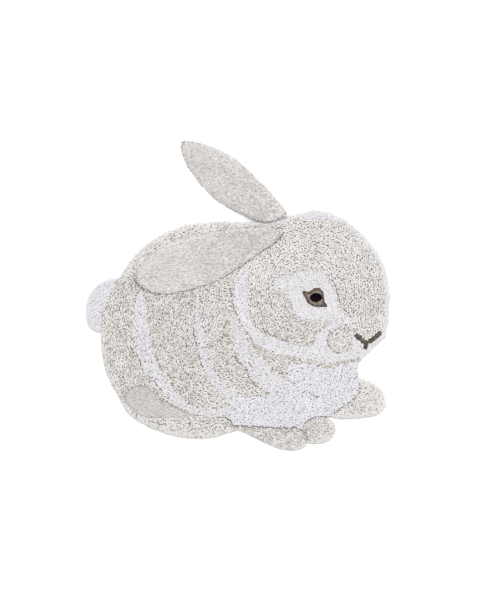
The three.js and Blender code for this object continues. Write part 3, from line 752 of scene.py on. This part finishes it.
# The bands on the flank: the face's white cotton, tufted in wide stripes that run down from the back and
# along the haunch to the chest.
BAND_TOP = 14.6 * MM
flank_bands = [
    [(-315, 0, 20), (-315, -100, 55), (-304, -165, 52), (-270, -252, 46), (-220, -315, 30), (-150, -371, 26),
     (-60, -385, 26), (10, -372, 45)],
    [(-130, 10, 8), (-126, -110, 24), (-108, -195, 28), (-82, -262, 30), (-42, -315, 36), (0, -345, 46)],
    [(-3, -70, 20), (5, -135, 42), (35, -200, 52), (85, -262, 60), (150, -315, 70)],
]
claim("bands", np.any([along_band(rows) for rows in flank_bands], axis=0))
band_places = sown("bands", BAND_TOP, 4.8 * MM, 112, 0.6 * MM, 0.2, 0.06, TORSO_MIDDLE, lift=-0.09)
bands = tufted("flank_bands", band_places, short_tufts, white_yarn, 112)

# The haunch patch: greige cotton on the thigh, tufted through the same backing and shorn the shortest of all,
# so that it lies as a shallow hollow beside the coat.
PATCH_TOP = 10.2 * MM
PATCH_COMBED_ROUND = (-250, 400)
haunch_patch_outline = [(-365, -322), (-322, -296), (-290, -298), (-250, -342), (-190, -372), (-130, -394),
                        (-240, -399), (-315, -392), (-360, -358)]
greige_shades = [(0.0, (0.41, 0.385, 0.365)), (0.4, (0.55, 0.52, 0.50)), (1.0, (0.605, 0.58, 0.56))]
greige_yarn = pile_material("greige_yarn", greige_shades)
claim("haunch_patch", within(haunch_patch_outline))
patch_places = sown("haunch_patch", PATCH_TOP, 4.5 * MM, 121, 0.25 * MM, 0.12, 0.0, PATCH_COMBED_ROUND)
haunch_patch = tufted("haunch_patch", patch_places, short_tufts, greige_yarn, 121)

# The paws: three rounds of the coat's beige cotton at the lower rim, tufted a little shorter than on the
# body.
PAW_TOP = 13.8 * MM
PAWS_COMBED_ROUND = (150, 300)
for name, outline, seed, lift in (("near_paw", near_paw_outline, 131, -0.44),
                                  ("middle_paw", middle_paw_outline, 132, -0.35),
                                  ("far_paw", far_paw_outline, 133, -0.1)):
    claim(name, within(outline))
    places = sown(name, PAW_TOP, 4.9 * MM, seed, 0.6 * MM, 0.2, 0.07, PAWS_COMBED_ROUND, lift)
    tufted(name, places, long_tufts, beige_yarn, seed)

# The coat: beige cotton over the torso and the head, cut at one height, with a coarse grain. It is tufted in
# seven stretches, and the strip along the back is a little lower and finer than the others.
COAT_TOP = 15.8 * MM
COAT_PITCH = 5.2 * MM
BACK_LOWER = 0.6 * MM
back_strip = [(-352, 72, 30), (-300, 130, 62), (-230, 176, 66), (-140, 200, 62), (-40, 215, 52), (60, 222, 44),
              (120, 240, 40)]
claim("back_coat", along_band(back_strip))
claim("cheek_coat", within(head_outline) & (across < 300 * MM) & (upward < 20 * MM))
claim("nose_coat", within(head_outline) & (across > 330 * MM) & (upward < 60 * MM))
claim("head_coat", within(head_outline))
claim("foot_coat", within(torso_outline) & (upward < -385 * MM))
claim("rump_coat", within(torso_outline) & (across < -120 * MM))
claim("side_coat", within(torso_outline))
back_places = sown("back_coat", COAT_TOP - BACK_LOWER, 4.9 * MM, 144, 0.5 * MM, 0.2, 0.03, TORSO_MIDDLE,
                   lift=-0.25)
coats = [tufted("back_coat", back_places, short_tufts, beige_yarn, 144)]
for name, seed, middle, dark_share, lift in (("head_coat", 141, CHEEK_MIDDLE, 0.05, 0.0),
                                             ("cheek_coat", 145, CHEEK_MIDDLE, 0.07, -0.3),
                                             ("nose_coat", 146, CHEEK_MIDDLE, 0.05, -0.13),
                                             ("foot_coat", 147, TORSO_MIDDLE, 0.06, -0.15),
                                             ("rump_coat", 142, TORSO_MIDDLE, 0.06, -0.33),
                                             ("side_coat", 143, TORSO_MIDDLE, 0.08, -0.2)):
    places = sown(name, COAT_TOP, COAT_PITCH, seed, 0.9 * MM, 0.24, dark_share, middle, lift)
    coats.append(tufted(name, places, long_tufts, beige_yarn, seed))

# The tail: a round of cool white cotton behind the haunch, tufted through the same backing and sheared short
# and smooth.
TAIL_TOP = 13.0 * MM
claim("tail", within(tail_outline))
tail_places = sown("tail", TAIL_TOP, 4.6 * MM, 151, 0.2 * MM, 0.1, 0.0, TORSO_MIDDLE, lift=-0.2)
tail = tufted("tail_pile", tail_places, short_tufts, cool_yarn, 151)

# The ears: two padded pieces in greige cotton with a short smooth pile, sewn down at the root only. The far
# one lies on the floor and climbs onto the head's rim; the near one lies over the back.
EAR_INSET = 2.4 * MM
EAR_PITCH = 4.6 * MM
EAR_RAGGED = 0.9 * MM
FAR_EAR_TURN = -39
EAR_SIDE_STEEP = 0.5
EAR_UNDERSIDE = -0.5
EAR_SIDE_CLOSER = 1.6
ABOVE_ALL = 0.1
ear_shades = [(0.0, (0.46, 0.44, 0.42)), (0.4, (0.63, 0.605, 0.59)), (1.0, (0.745, 0.72, 0.705))]
ear_yarn = pile_material("ear_yarn", ear_shades, foot_shade=0.55)
ear_tufts = tuft_forms("ear_tufts", 2.5 * MM, 4.0 * MM, bud_profile, 5, 17, stretch=(1.6, 2.3))


def core_of(node, name, yarn, inset, lowered):
    """What carries a solid's tufts: its form, drawn in, and lowered by a rule where it faces up."""
    form = copied_form(node)
    moves = [(vert, vert.normal.copy()) for vert in form.verts]
    for vert, out in moves:
        vert.co.x -= out.x * inset
        vert.co.y -= out.y * inset
        vert.co.z -= lowered(out.z)
    mesh = bpy.data.meshes.new(name)
    form.to_mesh(mesh)
    form.free()
    piece = new_piece(name, mesh)
    mesh.materials.append(yarn)
    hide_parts(node)
    return piece


def pad_lowered(up):
    """The ear's padding is lower by the length of its pile, with its underside kept where it lies."""
    return max(up, 0.0) * EAR_INSET


def ear_places(node, seed, turn):
    """Tufts in rows over an ear's top and close round its sides, lying along it: rougher towards its root."""
    chance = np.random.default_rng(seed)
    form = copied_form(node)
    bmesh.ops.triangulate(form, faces=form.faces)
    surface = BVHTree.FromBMesh(form)
    spots, leans = [], []
    for x, y in zip(*stitch_rows(EAR_PITCH, chance)):
        hit, normal = surface.ray_cast((x, y, ABOVE_ALL), (0, 0, -1))[:2]
        if hit is not None and normal.z > EAR_SIDE_STEEP:
            spots.append(hit[:])
            leans.append(normal[:])
    for face in form.faces:
        if not EAR_UNDERSIDE < face.normal.z <= EAR_SIDE_STEEP:
            continue
        corners = np.array([vert.co[:] for vert in face.verts])
        normals = np.array([vert.normal[:] for vert in face.verts])
        share = EAR_SIDE_CLOSER * face.calc_area() / (EAR_PITCH * EAR_PITCH * ROW_SHARE)
        for _ in range(int(share) + (chance.uniform() < share - int(share))):
            weights = chance.dirichlet((1, 1, 1))
            spots.append(weights @ corners)
            leans.append(weights @ normals)
    form.free()
    spots = np.array(spots)
    leans = np.array(leans)
    along = spots[:, 0] * math.cos(math.radians(turn)) + spots[:, 1] * math.sin(math.radians(turn))
    to_root = (along - along.min()) / np.ptp(along)
    # Painted light: tufts on the sides that face the lamp are made lighter.
    lit_side = leans[:, 0] * 0.6 + leans[:, 1] * 0.8
    leans[:, 2] = np.maximum(leans[:, 2], 0.05)
    leans += chance.normal(0, 0.14, leans.shape)
    spots -= leans * chance.uniform(0, EAR_RAGGED, (len(spots), 1)) * (1 + to_root[:, None])
    tone = tones(spots[:, 0], spots[:, 1], chance, 0.1, alike=0.03)
    tone += chance.normal(0, 0.14, len(spots)) + chance.normal(0, 0.4, len(spots)) * to_root ** 2
    flecked = chance.uniform(0, 1, len(spots)) < 0.25 * np.clip(2 * to_root - 0.7, 0, 1)
    tone += 0.02 - 0.14 * to_root + 0.3 * np.clip(6 * to_root - 5, 0, 1)
    tone = np.clip(tone + 0.42 * lit_side - 0.6 * flecked, 0, 1)
    spin = math.radians(turn) + chance.normal(0, 0.5 * COMB_STRAY, len(spots))
    return tuft_places(node, spots[:, 0], spots[:, 1], spots[:, 2], leans, spin, tone)


for node, seed, turn in (("ear_far", 161, FAR_EAR_TURN), ("ear_near", 162, NEAR_EAR_TURN)):
    pad = core_of(node, node + "_pad", ear_yarn, EAR_INSET, pad_lowered)
    pile = tufted(node + "_pile", ear_places(node, seed, turn), ear_tufts, ear_yarn, seed)

# The eye and the mouth: a brown almond with an oval black pupil in it, and three short brown runs that meet.
# They are stitched through the pile in thick cotton yarn, in close stitches.
brown_shades = [(0.0, (0.045, 0.033, 0.026)), (0.5, (0.165, 0.13, 0.098)), (1.0, (0.39, 0.325, 0.26))]
black_shades = [(0.0, (0.001, 0.0005, 0.001)), (0.6, (0.008, 0.005, 0.0065)), (1.0, (0.034, 0.024, 0.029))]
brown_yarn = pile_material("brown_yarn", brown_shades, sheen=0.05)
black_yarn = pile_material("black_yarn", black_shades, sheen=0.0)
black_yarn.node_tree.nodes["Principled BSDF"].inputs["Specular IOR Level"].default_value = 0.03
stitch_tufts = tuft_forms("stitch_tufts", 1.9 * MM, 4.0 * MM, bud_profile, 4, 27)
PUPIL_CENTRE = (254.5 * MM + DRAWING_SHIFT[0], -10 * MM + DRAWING_SHIFT[1])
PUPIL_HALF = (19.5 * MM, 14.5 * MM)
EYE_TOP = 14.2 * MM
EYE_MARGIN = 1.2 * MM
MOUTH_MARGIN = 0.8 * MM
IRIS_RIM = 8.4 * MM
IRIS_LOW = -25 * MM
PUPIL_RISE = 0.8 * MM
MOUTH_TOP = 15.2 * MM
STITCH_PITCH = 2.9 * MM
STITCH_STEP = 2 * MM
STITCH_DROP = 2.6 * MM
STITCH_INSET = 0.6 * MM
STITCH_FACES_UP = 0.25
STITCH_RAGGED = 0.5 * MM
FACE_MIDDLE = (335 * MM, -80 * MM)
FACE_HALF = (150 * MM, 120 * MM)


def stitch_lowered(up):
    """The foot of the stitching is a little lower than the stitches."""
    return STITCH_DROP if up > STITCH_FACES_UP else 0.0


def stitch_bed(node, yarn):
    return core_of(node, node + "_bed", yarn, STITCH_INSET, stitch_lowered)


iris_bed = stitch_bed("eye_iris", brown_yarn)
pupil_bed = stitch_bed("eye_pupil", black_yarn)
mouth_bed = stitch_bed("mouth", brown_yarn)


def stitched(name, belongs, tone_at, level, seed):
    """Places for small close stitches in an area given by a test, with the tone that a place has."""
    chance = np.random.default_rng(seed)
    x, y = stitch_rows(STITCH_PITCH, chance)
    near = (np.abs(x - FACE_MIDDLE[0]) < FACE_HALF[0]) & (np.abs(y - FACE_MIDDLE[1]) < FACE_HALF[1])
    x, y = x[near], y[near]
    mine = belongs(x, y)
    x, y = x[mine], y[mine]
    z = level + chance.uniform(-STITCH_RAGGED, STITCH_RAGGED, x.shape)
    lean = np.column_stack([chance.normal(0, 0.25, (len(x), 2)), np.ones(len(x))])
    tone = np.clip(tone_at(x, y) + chance.normal(0, 0.18, x.shape), 0, 1)
    return tuft_places(name, x, y, z, lean, chance.uniform(0, math.tau, x.shape), tone)


def in_pupil(x, y):
    """Which places lie in the oval pupil."""
    return ((x - PUPIL_CENTRE[0]) / PUPIL_HALF[0]) ** 2 + ((y - PUPIL_CENTRE[1]) / PUPIL_HALF[1]) ** 2 < 1


def iris_edge(x, y):
    """How far a place is from the almond's outline."""
    return nearest(smooth_line(iris_outline, True, STITCH_STEP), x, y)[0]


def in_iris(x, y):
    """Which places lie in the almond, clear of its edge and of the pupil."""
    return within(iris_outline, x, y) & ~in_pupil(x, y) & (iris_edge(x, y) > EYE_MARGIN)


def iris_tone(x, y):
    """The almond is dark along its edge and in its corners, and lighter beside and above the pupil."""
    return np.clip(iris_edge(x, y) / IRIS_RIM, 0, 1) * 0.85 - 0.15 * (y < IRIS_LOW)


def in_mouth(x, y):
    """Which places lie on one of the mouth's three runs."""
    found = np.zeros(np.shape(x), dtype=bool)
    for rows in mouth_runs:
        line = smooth_line(rows, False, STITCH_STEP)
        gap, which = nearest(line, x, y)
        found |= gap < line[which, 2] / 2 - MOUTH_MARGIN
    return found


def even_tone(tone):
    """One tone at every place."""
    return lambda x, y: np.full(np.shape(x), tone)


iris_places = stitched("iris", in_iris, iris_tone, EYE_TOP, 171)
iris = tufted("eye_iris_yarn", iris_places, stitch_tufts, brown_yarn, 171)
pupil_places = stitched("pupil", in_pupil, even_tone(0.5), EYE_TOP + PUPIL_RISE, 172)
pupil = tufted("eye_pupil_yarn", pupil_places, stitch_tufts, black_yarn, 172)
mouth_places = stitched("mouth", in_mouth, even_tone(0.34), MOUTH_TOP, 173)
mouth = tufted("mouth_yarn", mouth_places, stitch_tufts, brown_yarn, 173)

# The floor: plain and pale, wide enough for any view.
FLOOR_HALF = 60.0
floor_mesh = bpy.data.meshes.new("floor")
floor_mesh.from_pydata([(-FLOOR_HALF, -FLOOR_HALF, 0), (FLOOR_HALF, -FLOOR_HALF, 0),
                        (FLOOR_HALF, FLOOR_HALF, 0), (-FLOOR_HALF, FLOOR_HALF, 0)], [], [(0, 1, 2, 3)])
floor = bpy.data.objects.new("floor", floor_mesh)
bpy.context.scene.collection.objects.link(floor)
floor_paint, *_, floor_shader = new_material("floor_paint")
floor_shader.inputs["Base Color"].default_value = (0.93, 0.93, 0.93, 1.0)
floor_shader.inputs["Roughness"].default_value = 0.9
floor_shader.inputs["Specular IOR Level"].default_value = 0.1
floor_mesh.materials.append(floor_paint)

# Soft studio light: a bright even room, and a wide soft lamp high up, a little beyond the ears.
world = bpy.data.worlds.new("studio")
world.use_nodes = True
world.node_tree.nodes["Background"].inputs["Color"].default_value = (1.0, 1.0, 1.0, 1.0)
world.node_tree.nodes["Background"].inputs["Strength"].default_value = 0.81
bpy.context.scene.world = world
lamp_data = bpy.data.lights.new("soft_light", "SUN")
lamp_data.energy = 1.95
lamp_data.angle = math.radians(30)
lamp = bpy.data.objects.new("soft_light", lamp_data)
lamp.location = (0.3, 1.2, 2.6)
lamp.rotation_euler = (math.radians(-19), math.radians(5), 0.0)
bpy.context.scene.collection.objects.link(lamp)
bpy.context.scene.view_settings.view_transform = "Standard"

# The camera looks straight down through a long lens, so that the picture is 1.98 m high at the floor. The
# picture's height and middle are in pixels.
PIXEL = 3.25 * MM
PICTURE_HIGH = 610
PICTURE_MIDDLE = (2.5, -10.5)
LENS = 85.0
SENSOR = 36.0
camera_data = bpy.data.cameras.new("camera")
camera_data.lens = LENS
camera_data.sensor_width = SENSOR
camera = bpy.data.objects.new("camera", camera_data)
camera_height = PICTURE_HIGH * PIXEL * LENS / SENSOR
camera.location = (PICTURE_MIDDLE[0] * PIXEL + DRAWING_SHIFT[0], PICTURE_MIDDLE[1] * PIXEL + DRAWING_SHIFT[1],
                   camera_height)
bpy.context.scene.collection.objects.link(camera)
bpy.context.scene.camera = camera
